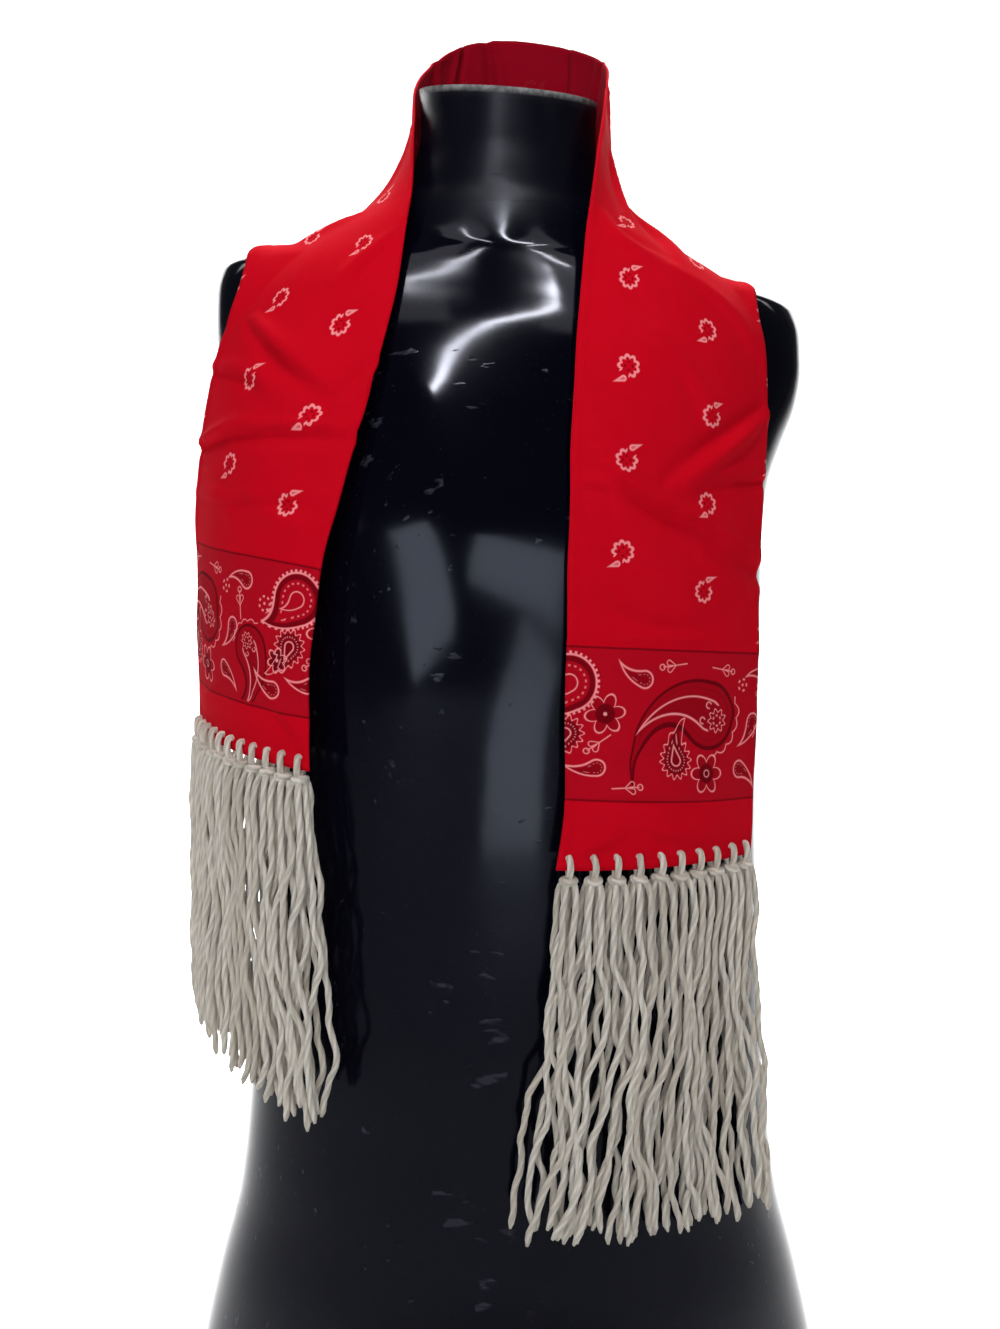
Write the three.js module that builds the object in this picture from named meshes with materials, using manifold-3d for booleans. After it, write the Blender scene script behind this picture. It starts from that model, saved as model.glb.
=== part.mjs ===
import * as THREE from 'three';
import { mergeVertices } from 'three/addons/utils/BufferGeometryUtils.js';
import Module from 'manifold-3d';

const wasm = await Module();
wasm.setup();

// Driving dimensions, in millimetres. The form stands on Z = 0 and faces -Y.
const ARM_CAP = 198;
const CAP_ROUNDING = 20;
const NECK_CAP_HEIGHT = 913;
const NECK_CAP_SLOPE = 0.36;
const NECK_ROOT = 842;
const SHOULDER_DROP = 15;
const ARM_LOWEST = 600;
const CHEST_TOP = 780;
const CLOTH_THICKNESS = 1.5;
const CLOTH_CLEARANCE = 1.0;
const SEAM_GAP = 0.3;
const YARN_RADIUS = 1.9;

// Accuracy: step for the field's slope, passes that settle a point, and the station step along
const FIELD_STEP = 0.5;
const CLEAR_PASSES = 12;
const RING_PASSES = 6;
const SEAT_SHARE = 0.6;
const SEAT_PASSES = 6;
const CURVE_TENSION = 0.5;
const STATION_STEP = 0.1;
const WELD = 1e-4;

// Level sections of the form: half width, and how far it reaches in front of and behind X axis
const FORM_SECTIONS = [
  { z: 0, half: 222, front: 112, back: 126, power: 2.3 },
  { z: 50, half: 216, front: 114, back: 126, power: 2.3 },
  { z: 110, half: 203, front: 111, back: 116, power: 2.25 },
  { z: 175, half: 187, front: 104, back: 104, power: 2.2 },
  { z: 240, half: 180, front: 100, back: 99, power: 2.2 },
  { z: 350, half: 173, front: 101, back: 102, power: 2.2 },
  { z: 450, half: 171, front: 106, back: 110, power: 2.2 },
  { z: 540, half: 172, front: 114, back: 117, power: 2.2 },
  { z: 610, half: 172, front: 117, back: 120, power: 2.2 },
  { z: 650, half: 176, front: 112, back: 120, power: 2.2 },
  { z: 685, half: 187, front: 105, back: 117, power: 2.2 },
  { z: 712, half: 200, front: 98, back: 112, power: 2.2 },
  { z: 740, half: 211, front: 90, back: 106, power: 2.15 },
  { z: 762, half: 214, front: 82, back: 98, power: 2.05 },
  { z: 779, half: 209, front: 76, back: 90, power: 1.9 },
  { z: 788, half: 190, front: 73, back: 86, power: 1.78 },
  { z: 794, half: 165, front: 71, back: 83, power: 1.7 },
  { z: 803, half: 137, front: 69, back: 79, power: 1.65 },
  { z: 813, half: 115, front: 67, back: 75, power: 1.7 },
  { z: 823, half: 97, front: 65, back: 72, power: 1.8 },
  { z: 833, half: 81, front: 63, back: 70, power: 1.9 },
  { z: 846, half: 70, front: 62, back: 67, power: 2 },
  { z: 862, half: 63, front: 61, back: 63, power: 2 },
  { z: 884, half: 59, front: 61, back: 60, power: 2 },
  { z: 945, half: 61, front: 61, back: 58, power: 2 },
];
const FORM_RINGS = [
  0, 40, 80, 125, 180, 240, 320, 400, 480, 550, 610, 655, 685, 712, 738, 757, 771, 781, 788, 794,
  801, 808, 816, 824, 833, 843, 856, 872, 890, 913,
];
const FORM_SIDES = 44;

// Cross lines of the strip from the right hem, over the neck, to the left hem. On the fronts the
// inner edge lies towards the middle of the chest, and behind the neck it is the upper edge. The
// bow lifts the middle of a cross line off its chord.
const STATIONS = [
  { inner: [27, -122, 415], outer: [155, -60, 411], bow: 13 },
  { inner: [33, -122, 461], outer: [157, -60, 451], bow: 12 },
  { inner: [32, -122, 505], outer: [158, -60, 500], bow: 11 },
  { inner: [33, -122, 552], outer: [159, -60, 545], bow: 11 },
  { inner: [34, -122, 615], outer: [160, -59, 610], bow: 12 },
  { inner: [36, -118, 672], outer: [163, -58, 666], bow: 13 },
  { inner: [40, -104, 734], outer: [161, -62, 718], bow: 12 },
  { inner: [45, -89, 784], outer: [156, -49, 758], bow: 9 },
  { inner: [50, -75, 820], outer: [150, -2, 786], bow: 2 },
  { inner: [57, -55, 860], outer: [142, 44, 783], bow: -6 },
  { inner: [64, -24, 903], outer: [117, 67, 790], bow: -9 },
  { inner: [69, 12, 937], outer: [86, 79, 809], bow: -9 },
  { inner: [61, 44, 963], outer: [52, 87, 830], bow: -6 },
  { inner: [38, 68, 982], outer: [20, 91, 843], bow: 0 },
  { inner: [4, 77, 991], outer: [-12, 90, 847], bow: 0 },
  { inner: [-30, 69, 984], outer: [-46, 87, 841], bow: -4 },
  { inner: [-54, 42, 957], outer: [-80, 81, 823], bow: -10 },
  { inner: [-63, 6, 922], outer: [-110, 69, 807], bow: -14 },
  { inner: [-62, -30, 880], outer: [-138, 49, 804], bow: -10 },
  { inner: [-60, -58, 832], outer: [-150, 0, 809], bow: 1 },
  { inner: [-64, -78, 789], outer: [-165, -42, 776], bow: 9 },
  { inner: [-72, -97, 735], outer: [-182, -48, 742], bow: 12 },
  { inner: [-85, -110, 684], outer: [-196, -37, 704], bow: 14 },
  { inner: [-99, -114, 632], outer: [-206, -25, 655], bow: 15 },
  { inner: [-112, -112, 580], outer: [-210, -18, 602], bow: 15 },
  { inner: [-118, -109, 525], outer: [-211, -15, 542], bow: 14 },
  { inner: [-119, -108, 471], outer: [-210, -15, 487], bow: 13 },
];
const ROWS_PER_STATION = 2.5;
const COLUMNS = 10;
const STRETCHES = [
  { name: 'front_right', from: 0, to: 23 },
  { name: 'neck_stretch', from: 23, to: 45 },
  { name: 'front_left', from: 45, to: 65 },
];

// Largest folds: a soft ridge, or a trough where height is below zero, along a straight line from
// one place to another. A place is a station number and a share of the width from the inner edge.
const FOLDS = [
  { from: [5.2, 0.98], to: [4.3, 0.5], height: 4, width: 9 },
  { from: [4.1, 1.0], to: [3.6, 0.62], height: -4, width: 8 },
  { from: [8.2, 0.9], to: [6.2, 0.5], height: 3, width: 12 },
  { from: [10.6, 0.1], to: [11.2, 0.9], height: 5, width: 11 },
  { from: [14.6, 0.0], to: [14.2, 0.75], height: 6, width: 10 },
  { from: [16.4, 0.05], to: [16.9, 0.8], height: 5, width: 10 },
  { from: [20.2, 0.95], to: [21.6, 0.4], height: 4, width: 12 },
  { from: [22.4, 1.0], to: [22.9, 0.35], height: -4, width: 9 },
  { from: [23.8, 0.05], to: [23.2, 0.5], height: 4, width: 9 },
];

// Tassels: yarns folded over the hem, gathered in a knot just under it, and hanging in layers of
// two. Their lengths at the inner and outer edge, and how far their ends splay along the hem.
const ENDS = [
  { side: 'right', station: 0, tassels: 10, inner: 216, outer: 216, splay: [-24, 9], phase: 0 },
  { side: 'left', station: 26, tassels: 11, inner: 212, outer: 176, splay: [-10, 6], phase: 1 },
];
const KNOT = { across: 4.2, deep: 6.2, high: 5, sides: 6, rings: 4 };
const STUB = { height: 8, radius: 1.4, gap: 0.8, tip: 0.98, root: 0.8, rootDrop: 4, reach: [0.5, 0.9] };
const LAYERS = 3;
const LAYER_STEP = 5.2;
const STRAND_OFFSETS = [-3.2, 3.2];
const STRAND_STEPS = 6;
const STRAND_CORNERS = [90, 210, 330];
const ROOT_DROP = 5.5;

// Share of its spacing that a strand has at the knot, and the drop over which it opens
const OPENING = { offset: 0.35, layer: 0.45, drop: 14 };
const SPLAY_POWER = 1.4;
const UNEVEN = { share: 0.03, place: 0.9, layer: 2.1 };

// Sideways waves that all strands of a layer follow, so that none cross. They grow from the knot.
const WAVE_START = 50;
const WAVES = [
  { height: 5.2, place: 21, drop: 37, layer: 1.9, phase: 1 },
  { height: 3, place: 34, drop: -17, layer: 2.6, phase: 2 },
];

// Smooth curve through one column of the form's table, without overshoot
function column(key, z) {
  const rows = FORM_SECTIONS;
  let i = 0;
  while (i < rows.length - 2 && z > rows[i + 1].z) i += 1;
  const slope = (a) => (rows[a + 1][key] - rows[a][key]) / (rows[a + 1].z - rows[a].z);
  const bend = (a) => {
    if (a === 0 || a === rows.length - 1) return 0;
    const before = slope(a - 1);
    const after = slope(a);
    return before * after > 0 ? (2 * before * after) / (before + after) : 0;
  };
  const span = rows[i + 1].z - rows[i].z;
  const t = THREE.MathUtils.clamp((z - rows[i].z) / span, 0, 1);
  const rise = rows[i + 1][key] - rows[i][key];
  const start = bend(i) * span;
  const end = bend(i + 1) * span;
  const blend = t * t * (3 - 2 * t);
  return rows[i][key] + rise * blend + start * t * (1 - t) * (1 - t) - end * t * t * (1 - t);
}

function section(z) {
  const front = column('front', z);
  const back = column('back', z);
  const half = column('half', z);
  return { half, depth: (front + back) / 2, middle: (back - front) / 2, power: column('power', z) };
}

// The level whose section a point belongs to: the shoulders slope a little down towards +X
function levelOf(point) {
  const share = THREE.MathUtils.smoothstep(point.z, ARM_LOWEST, CHEST_TOP);
  return point.z + (SHOULDER_DROP * share * point.x) / ARM_CAP;
}

// Above zero outside the form, below zero inside it
function formField(point) {
  const s = section(levelOf(point));
  const across = Math.abs(point.x / s.half) ** s.power;
  const deep = Math.abs((point.y - s.middle) / s.depth) ** s.power;
  return capped((across + deep) ** (1 / s.power), point) - 1;
}

// Joins a section with the flat arm cap, with a rounded rim between the two
function capped(body, point) {
  const share = THREE.MathUtils.smoothstep(point.z, ARM_LOWEST, CHEST_TOP);
  const cap = (Math.abs(point.x) / ARM_CAP) ** CAP_ROUNDING;
  return (body ** CAP_ROUNDING + share * cap) ** (1 / CAP_ROUNDING);
}

function formSlope(point) {
  const here = formField(point);
  const rises = [0, 1, 2].map((axis) => {
    const onward = point.getComponent(axis) + FIELD_STEP;
    return (formField(point.clone().setComponent(axis, onward)) - here) / FIELD_STEP;
  });
  return new THREE.Vector3(...rises);
}

// Moves a point straight out until it is the given distance clear of the form
function clearOfForm(point, clearance) {
  const moved = point.clone();
  for (let pass = 0; pass < CLEAR_PASSES; pass += 1) {
    const slope = formSlope(moved);
    const size = slope.length();
    const distance = formField(moved) / size;
    if (distance >= clearance) break;
    moved.addScaledVector(slope, (clearance - distance) / size);
  }
  return moved;
}

function indexed(positions, triangles) {
  const geometry = new THREE.BufferGeometry();
  geometry.setAttribute('position', new THREE.Float32BufferAttribute(positions.flat(), 3));
  geometry.setIndex(triangles.flat());
  return geometry;
}

function signedVolume(points, triangles) {
  const corner = (i) => new THREE.Vector3(...points[i]);
  return triangles.reduce((sum, [a, b, c]) => sum + corner(a).dot(corner(b).cross(corner(c))) / 6, 0);
}

// Closed body through rings of equal count, its ends closed by fans about their middles
function loft(rings) {
  const sides = rings[0].length;
  const points = rings.flat().map((p) => [p.x, p.y, p.z]);
  const triangles = [];
  for (let r = 0; r < rings.length - 1; r += 1) {
    for (let s = 0; s < sides; s += 1) {
      const a = r * sides + s;
      const b = r * sides + ((s + 1) % sides);
      triangles.push([a, b, b + sides], [a, b + sides, a + sides]);
    }
  }
  for (const r of [0, rings.length - 1]) {
    const middle = new THREE.Vector3();
    rings[r].forEach((p) => middle.addScaledVector(p, 1 / sides));
    points.push([middle.x, middle.y, middle.z]);
    for (let s = 0; s < sides; s += 1) {
      const a = r * sides + s;
      const b = r * sides + ((s + 1) % sides);
      triangles.push(r === 0 ? [b, a, points.length - 1] : [a, b, points.length - 1]);
    }
  }
  const outward = signedVolume(points, triangles) > 0;
  return indexed(points, outward ? triangles : triangles.map(([a, b, c]) => [a, c, b]));
}

function solid(geometry) {
  const bare = geometry.clone();
  bare.deleteAttribute('normal');
  bare.deleteAttribute('uv');
  const merged = mergeVertices(bare, WELD);
  const vertProperties = Float32Array.from(merged.attributes.position.array);
  const triVerts = Uint32Array.from(merged.index.array);
  return new wasm.Manifold(new wasm.Mesh({ numProp: 3, vertProperties, triVerts }));
}

function geometryOf(body) {
  const mesh = body.getMesh();
  const geometry = new THREE.BufferGeometry();
  geometry.setAttribute('position', new THREE.BufferAttribute(Float32Array.from(mesh.vertProperties), 3));
  geometry.setIndex(Array.from(mesh.triVerts));
  return geometry;
}

// Torso form: rings up to a sloped neck cap, with the upper arms ending in flat caps
function torsoForm() {
  const rings = FORM_RINGS.map((level) => {
    const tilt = NECK_CAP_SLOPE * THREE.MathUtils.smoothstep(level, NECK_ROOT, NECK_CAP_HEIGHT);
    return Array.from({ length: FORM_SIDES }, (_, side) => {
      const angle = (2 * Math.PI * side) / FORM_SIDES;
      const point = new THREE.Vector3(0, 0, level);
      for (let pass = 0; pass < RING_PASSES; pass += 1) {
        const s = section(levelOf(point));
        const round = (value) => Math.sign(value) * Math.abs(value) ** (2 / s.power);
        point.x = s.half * round(Math.cos(angle));
        point.y = s.middle + s.depth * round(Math.sin(angle));
        const inward = 1 / capped(1, point);
        point.x *= inward;
        point.y = s.middle + (point.y - s.middle) * inward;
        point.z += level + tilt * point.y - levelOf(point);
      }
      return point;
    });
  });
  return loft(rings);
}

// The strip's surface at a station number and a share of its width
const curve = (pick) => new THREE.CatmullRomCurve3(STATIONS.map(pick), false, 'catmullrom', CURVE_TENSION);
const innerEdge = curve((s) => new THREE.Vector3(...s.inner));
const outerEdge = curve((s) => new THREE.Vector3(...s.outer));
const bowOf = curve((s) => new THREE.Vector3(s.bow, 0, 0));
const LAST = STATIONS.length - 1;

function chordPoint(station, share) {
  return innerEdge.getPoint(station / LAST).lerp(outerEdge.getPoint(station / LAST), share);
}

function chordNormal(station, share) {
  const before = chordPoint(Math.max(station - STATION_STEP, 0), share);
  const along = chordPoint(Math.min(station + STATION_STEP, LAST), share).sub(before);
  const across = outerEdge.getPoint(station / LAST).sub(innerEdge.getPoint(station / LAST));
  return across.cross(along).normalize();
}

function foldHeight(station, share, point) {
  return FOLDS.reduce((sum, fold) => {
    const start = new THREE.Vector2(...fold.from);
    const run = new THREE.Vector2(...fold.to).sub(start);
    const place = new THREE.Vector2(station, share).sub(start);
    const part = THREE.MathUtils.clamp(place.dot(run) / run.lengthSq(), 0, 1);
    const nearest = chordPoint(start.x + run.x * part, start.y + run.y * part);
    const off = nearest.distanceTo(point) / fold.width;
    return sum + fold.height * Math.exp(-off * off);
  }, 0);
}

function clothPoint(station, share) {
  const chord = chordPoint(station, share);
  const bow = bowOf.getPoint(station / LAST).x * 4 * share * (1 - share);
  const lift = bow + foldHeight(station, share, chord);
  return clearOfForm(chord.addScaledVector(chordNormal(station, share), lift), CLOTH_CLEARANCE);
}

// Inner face of the whole strip as rows of points. Where the middle of a face or an edge would
// lie inside the form, the corners round it are moved out.
function innerFace() {
  const rows = Array.from({ length: LAST * ROWS_PER_STATION + 1 }, (_, r) => (
    Array.from({ length: COLUMNS + 1 }, (_, c) => clothPoint(r / ROWS_PER_STATION, c / COLUMNS))
  ));
  const seat = (corners) => {
    const middle = new THREE.Vector3();
    corners.forEach((p) => middle.addScaledVector(p, 1 / corners.length));
    const lift = clearOfForm(middle, CLOTH_CLEARANCE).sub(middle);
    corners.forEach((p) => p.addScaledVector(lift, SEAT_SHARE));
  };
  for (let pass = 0; pass < SEAT_PASSES; pass += 1) {
    for (let r = 0; r < rows.length - 1; r += 1) {
      for (let c = 0; c < COLUMNS; c += 1) {
        const [a, b, d, e] = [rows[r][c], rows[r][c + 1], rows[r + 1][c], rows[r + 1][c + 1]];
        seat([a, b]);
        seat([a, d]);
        seat([a, b, d, e]);
      }
    }
  }
  return rows;
}

// Outer face: the inner one moved out by the cloth's thickness
function outerFace(inside) {
  const { clamp } = THREE.MathUtils;
  const near = (r, c) => inside[clamp(r, 0, inside.length - 1)][clamp(c, 0, COLUMNS)];
  return inside.map((line, r) => line.map((point, c) => {
    const along = near(r + 1, c).clone().sub(near(r - 1, c));
    const across = near(r, c + 1).clone().sub(near(r, c - 1));
    return point.clone().addScaledVector(across.cross(along).normalize(), CLOTH_THICKNESS);
  }));
}

// A stretch of the strip as a closed wall between its two faces. A stretch after the first
// starts one seam gap further along.
function clothWall(inside, outside, { from, to }) {
  const rows = to - from;
  const width = COLUMNS + 1;
  const [grid, cover] = [inside, outside].map((face) => {
    const lines = face.slice(from, to + 1).map((line) => line.map((p) => p.clone()));
    const onward = (p, c) => lines[1][c].clone().sub(p).normalize();
    if (from > 0) lines[0].forEach((p, c) => p.addScaledVector(onward(p, c), SEAM_GAP));
    return lines.flat();
  });
  const points = [...grid, ...cover].map((p) => [p.x, p.y, p.z]);
  const triangles = [];
  const quad = (a, b, c, d) => triangles.push([a, b, c], [a, c, d]);
  const far = grid.length;
  for (let r = 0; r < rows; r += 1) {
    for (let c = 0; c < COLUMNS; c += 1) {
      const a = r * width + c;
      quad(a, a + 1, a + width + 1, a + width);
      quad(far + a, far + a + width, far + a + width + 1, far + a + 1);
    }
  }
  for (let r = 0; r < rows; r += 1) {
    const a = r * width;
    const b = a + COLUMNS;
    quad(a, a + width, far + a + width, far + a);
    quad(b, far + b, far + b + width, b + width);
  }
  for (let c = 0; c < COLUMNS; c += 1) {
    const b = rows * width + c;
    quad(c, far + c, far + c + 1, c + 1);
    quad(b, b + 1, far + b + 1, far + b);
  }
  const outward = signedVolume(points, triangles) > 0;
  return indexed(points, outward ? triangles : triangles.map(([a, b, c]) => [a, c, b]));
}

function sideWave(place, drop, layer, phase) {
  const grown = 1 - Math.exp(-drop / WAVE_START);
  return WAVES.reduce((sum, wave) => {
    const turn = place / wave.place + drop / wave.drop + wave.layer * layer + wave.phase * phase;
    return sum + grown * wave.height * Math.sin(turn);
  }, 0);
}

function strandRing(middle, along, out) {
  return STRAND_CORNERS.map((degrees) => {
    const angle = THREE.MathUtils.degToRad(degrees);
    const point = middle.clone().addScaledVector(along, YARN_RADIUS * Math.cos(angle));
    return point.addScaledVector(out, YARN_RADIUS * Math.sin(angle));
  });
}

// One strand, kept clear of the form by its back layer and stepped outwards from there
function strand(hem, offset, layer, length) {
  const rings = [];
  for (let step = 0; step <= STRAND_STEPS; step += 1) {
    const drop = (length * step) / STRAND_STEPS;
    const opened = 1 - Math.exp(-drop / OPENING.drop);
    const wave = sideWave(hem.place + offset, drop, layer, hem.phase);
    const aside = offset * THREE.MathUtils.lerp(OPENING.offset, 1, opened);
    const shift = aside + wave + hem.splay * (drop / length) ** SPLAY_POWER;
    const spread = LAYER_STEP * THREE.MathUtils.lerp(OPENING.layer, 1, opened);
    const back = hem.point.clone().addScaledVector(hem.along, shift);
    back.addScaledVector(hem.out, (-spread * (LAYERS - 1)) / 2);
    back.z = hem.point.z - ROOT_DROP - drop;
    const clear = clearOfForm(back, YARN_RADIUS + CLOTH_CLEARANCE).setZ(back.z);
    const middle = clear.addScaledVector(hem.out, spread * layer);
    rings.push(strandRing(middle, hem.along, hem.out));
  }
  return loft(rings);
}

// The yarns' loop on one face of the hem, from inside the knot to a little above the hem
function stub(hem, face) {
  const [inside, beside] = STUB.reach.map((part) => hem.point.clone().addScaledVector(hem.out, face * part));
  const tip = beside.clone();
  inside.z -= STUB.rootDrop;
  tip.z += STUB.height;
  const ring = (middle, half) => [[-1, -1], [1, -1], [1, 1], [-1, 1]].map(([a, o]) => {
    const point = middle.clone().addScaledVector(hem.along, a * STUB.radius);
    return point.addScaledVector(hem.out, o * half);
  });
  return loft([ring(inside, STUB.root), ring(beside, STUB.radius), ring(tip, STUB.tip)]);
}

function tassel(hem) {
  const knot = new THREE.SphereGeometry(1, KNOT.sides, KNOT.rings);
  knot.rotateX(Math.PI / 2);
  knot.scale(KNOT.across, KNOT.deep, KNOT.high);
  knot.rotateZ(Math.atan2(hem.along.y, hem.along.x));
  knot.translate(hem.point.x, hem.point.y, hem.point.z - 2 * SEAM_GAP - KNOT.high);
  const reach = CLOTH_THICKNESS / 2 + STUB.gap + STUB.radius;
  let body = solid(knot).add(solid(stub(hem, reach))).add(solid(stub(hem, -reach)));
  for (let layer = 0; layer < LAYERS; layer += 1) {
    for (const offset of STRAND_OFFSETS) {
      const turn = hem.place * UNEVEN.place + UNEVEN.layer * layer + offset;
      const length = hem.length * (1 - UNEVEN.share * Math.abs(Math.sin(turn)));
      body = body.add(solid(strand(hem, offset, layer, length)));
    }
  }
  return geometryOf(body);
}

// Where a tassel is tied: its place along the hem, and its length and splay there
function hemFrame({ station, inner, outer, splay, phase }, share) {
  const beside = 0.04;
  const [before, point, after] = [-beside, 0, beside].map((step) => clothPoint(station, share + step));
  const along = after.sub(before).setZ(0).normalize();
  const out = new THREE.Vector3(along.y, -along.x, 0);
  if (out.x * point.x + out.y * point.y < 0) out.negate();
  point.addScaledVector(out, CLOTH_THICKNESS / 2);
  const place = share * chordPoint(station, 0).distanceTo(chordPoint(station, 1));
  const length = THREE.MathUtils.lerp(inner, outer, share);
  return { point, along, out, place, phase, length, splay: THREE.MathUtils.lerp(...splay, share) };
}

const cloth = { color: 0xc00e24, roughness: 0.85, metalness: 0 };
const yarn = { color: 0xd8d0c0, roughness: 0.95, metalness: 0 };
const gloss = { color: 0x0b0b16, roughness: 0.12, metalness: 0 };
const group = new THREE.Group();

function add(name, geometry, finish) {
  const mesh = new THREE.Mesh(geometry, new THREE.MeshStandardMaterial(finish));
  mesh.name = name;
  group.add(mesh);
}

add('torso_form', torsoForm(), gloss);
const inside = innerFace();
const outside = outerFace(inside);
for (const stretch of STRETCHES) add(stretch.name, clothWall(inside, outside, stretch), cloth);
for (const end of ENDS) {
  for (let i = 0; i < end.tassels; i += 1) {
    const share = (i + 0.5) / end.tassels;
    const number = String(i + 1).padStart(2, '0');
    add(`tassel_${end.side}_${number}`, tassel(hemFrame(end, share)), yarn);
  }
}

export default group;
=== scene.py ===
import math

import bpy
import numpy as np
from mathutils import Matrix, Vector


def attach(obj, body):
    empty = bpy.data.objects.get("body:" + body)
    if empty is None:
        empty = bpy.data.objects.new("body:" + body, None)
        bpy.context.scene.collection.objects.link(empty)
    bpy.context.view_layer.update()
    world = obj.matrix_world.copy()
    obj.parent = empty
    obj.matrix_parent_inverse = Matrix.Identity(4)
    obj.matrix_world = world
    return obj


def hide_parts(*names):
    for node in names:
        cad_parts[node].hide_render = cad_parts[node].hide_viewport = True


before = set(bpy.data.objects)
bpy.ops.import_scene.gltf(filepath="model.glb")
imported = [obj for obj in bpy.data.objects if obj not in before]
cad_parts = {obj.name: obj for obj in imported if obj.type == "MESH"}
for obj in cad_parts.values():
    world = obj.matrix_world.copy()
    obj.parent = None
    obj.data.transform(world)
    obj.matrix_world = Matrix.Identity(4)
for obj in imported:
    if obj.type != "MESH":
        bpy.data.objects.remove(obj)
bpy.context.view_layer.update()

# Camera: level with the chest and close to it, tipped down a little, so that the neck cap is
# seen from just below its rim and the base of the form lies under the picture's lower edge.
bpy.ops.object.camera_add(location=(-0.0055, -0.725, 0.567), rotation=(math.radians(87.01), 0, 0))
camera = bpy.context.object
camera.name = "camera"
camera.data.lens = 28.25
camera.data.sensor_width = 36
camera.data.clip_start = 0.01
bpy.context.scene.camera = camera
bpy.context.scene.view_settings.view_transform = "Standard"


# Studio: a pale floor that rises as a plain backdrop, with soft lights that whiten it. The long
# strip light draws the curved streak on the upper chest, and the window panels the pale patches.
class Amount:
    """a value, colour or vector in a finish: arithmetic on it adds Math nodes"""

    def __init__(self, finish, socket):
        self.finish = finish
        self.socket = socket

    def math(self, operation, *others, clamp=False):
        settings = {"operation": operation, "use_clamp": clamp}
        return self.finish.add("ShaderNodeMath", settings, dict(enumerate((self, *others))))

    def after(self, operation, first):
        return self.finish.add("ShaderNodeMath", {"operation": operation}, {0: first, 1: self})

    def __add__(self, other):
        return self.math("ADD", other)

    __radd__ = __add__

    def __sub__(self, other):
        return self.math("SUBTRACT", other)

    def __rsub__(self, other):
        return self.after("SUBTRACT", other)

    def __mul__(self, other):
        return self.math("MULTIPLY", other)

    __rmul__ = __mul__

    def __truediv__(self, other):
        return self.math("DIVIDE", other)

    def __abs__(self):
        return self.math("ABSOLUTE")

    def __gt__(self, other):
        return self.math("GREATER_THAN", other)

    def __lt__(self, other):
        return self.math("LESS_THAN", other)

    def most(self, other):
        return self.math("MAXIMUM", other)

    def least(self, other):
        return self.math("MINIMUM", other)

    def held_to_one(self):
        return self.math("MULTIPLY", 1.0, clamp=True)


class Finish:
    """a material, built from the nodes that its surface needs"""

    def __init__(self, name, **even):
        self.material = bpy.data.materials.new(name)
        self.material.use_nodes = True
        self.tree = self.material.node_tree
        self.shader = self.tree.nodes["Principled BSDF"]
        for socket, value in even.items():
            self.shader.inputs[socket.replace("_", " ")].default_value = value

    def add(self, kind, settings=None, sockets=None, out=0):
        node = self.tree.nodes.new(kind)
        for key, value in (settings or {}).items():
            setattr(node, key, value)
        for key, value in (sockets or {}).items():
            self.feed(node.inputs[key], value)
        return Amount(self, node.outputs[out])

    def feed(self, socket, value):
        if isinstance(value, Amount):
            self.tree.links.new(value.socket, socket)
        else:
            socket.default_value = value

    def shade(self, socket, value):
        self.feed(self.shader.inputs[socket], value)

    def mix(self, share, first, second):
        sides = {0: share, 6: first, 7: second}
        return self.add("ShaderNodeMix", {"data_type": "RGBA"}, sides, out=2)

    def noise(self, place, scale, detail=3.0, roughness=0.5):
        sockets = {"Vector": place, "Scale": scale, "Detail": detail, "Roughness": roughness}
        return self.add("ShaderNodeTexNoise", {}, sockets)


def bare_start():
    bpy.ops.object.select_all(action="DESELECT")


def keep_place_in_mesh(piece):
    bare_start()
    piece.select_set(True)
    bpy.context.view_layer.objects.active = piece
    bpy.ops.object.transform_apply(location=True, rotation=True, scale=True)


bare_start()
bpy.ops.mesh.primitive_plane_add(size=1, location=(0, 0, 0))
floor = bpy.context.object
floor.name = "studio_floor"
floor.scale = (9, 6, 1)
floor.location = (0, -1.2, -0.0005)
keep_place_in_mesh(floor)
bpy.ops.object.mode_set(mode="EDIT")
bpy.ops.mesh.select_mode(type="EDGE")
bpy.ops.mesh.select_all(action="DESELECT")
bpy.ops.object.mode_set(mode="OBJECT")
for edge in floor.data.edges:
    edge.select = all(floor.data.vertices[v].co.y > 1.7 for v in edge.vertices)
bpy.ops.object.mode_set(mode="EDIT")
bpy.ops.mesh.extrude_region_move(TRANSFORM_OT_translate={"value": (0, 0, 4)})
bpy.ops.object.mode_set(mode="OBJECT")
bare_start()
floor.select_set(True)
cove = floor.modifiers.new("cove", "BEVEL")
cove.width = 0.8
cove.segments = 16
bpy.ops.object.modifier_apply(modifier="cove")
bpy.ops.object.shade_smooth()
paper = Finish("studio_paper", Base_Color=(0.64, 0.64, 0.64, 1), Roughness=0.95)
floor.data.materials.append(paper.material)


def soft_light(name, place, towards, size, power, level=(1, 0, 0), spread=180, colour=(1, 1, 1)):
    bpy.ops.object.light_add(type="AREA", location=place)
    light = bpy.context.object
    light.name = name
    light.data.shape = "RECTANGLE"
    light.data.size, light.data.size_y = size
    light.data.energy = power
    light.data.spread = math.radians(spread)
    light.data.color = colour
    back = (Vector(place) - Vector(towards)).normalized()
    upright = back.cross(Vector(level)).normalized()
    light.rotation_euler = Matrix((upright.cross(back), upright, back)).transposed().to_euler()


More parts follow.
